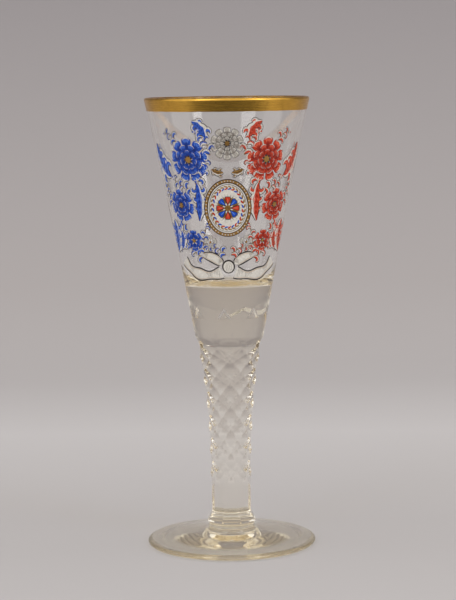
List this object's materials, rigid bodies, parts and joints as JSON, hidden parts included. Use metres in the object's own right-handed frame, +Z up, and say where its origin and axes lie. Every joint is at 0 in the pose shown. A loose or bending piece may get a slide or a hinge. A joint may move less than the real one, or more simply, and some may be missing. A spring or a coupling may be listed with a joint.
{
  "type": "glass goblet",
  "caption": "Tall footed goblet of clear glass: funnel bowl with a gilt rim and painted enamel flowers, solid stem cut with diamond facets, round button and disc foot.",
  "frame": {"origin": "centre of the foot's resting ring, on the surface that the goblet stands on", "axes": "+Z up along the goblet's axis, -Y towards the painted front, +X to the viewer's right"},
  "size_m": [0.0906, 0.0906, 0.24],
  "materials": {
    "glass": "gloss",
    "gold": "satin",
    "blue_enamel": "gloss",
    "red_enamel": "gloss",
    "white_enamel": "gloss"
  },
  "bodies": {
    "root": {"foot": "glass", "merese": "glass", "stem": "glass", "bowl": "glass", "rim_gilding": "gold", "medallion_rosette": "red_enamel", "medallion_ground": "white_enamel", "medallion_frame": "gold", "white_flower_top": "white_enamel", "ribbon_knot": "white_enamel", "blue_flower_upper": "blue_enamel", "blue_flower_middle": "blue_enamel", "blue_flower_lower": "blue_enamel", "blue_leaf_top": "blue_enamel", "blue_leaf_upper": "blue_enamel", "blue_leaf_middle": "blue_enamel", "blue_leaf_inner": "blue_enamel", "blue_leaf_lower": "blue_enamel", "white_flower_left": "white_enamel", "gold_scroll_left": "gold", "ribbon_loop_left": "white_enamel", "ribbon_tail_left": "white_enamel", "red_flower_upper": "red_enamel", "red_flower_middle": "red_enamel", "red_flower_lower": "red_enamel", "red_leaf_top": "red_enamel", "red_leaf_upper": "red_enamel", "red_leaf_middle": "red_enamel", "red_leaf_inner": "red_enamel", "red_leaf_lower": "red_enamel", "white_flower_right": "white_enamel", "gold_scroll_right": "gold", "ribbon_loop_right": "white_enamel", "ribbon_tail_right": "white_enamel"}
  },
  "joints": []
}
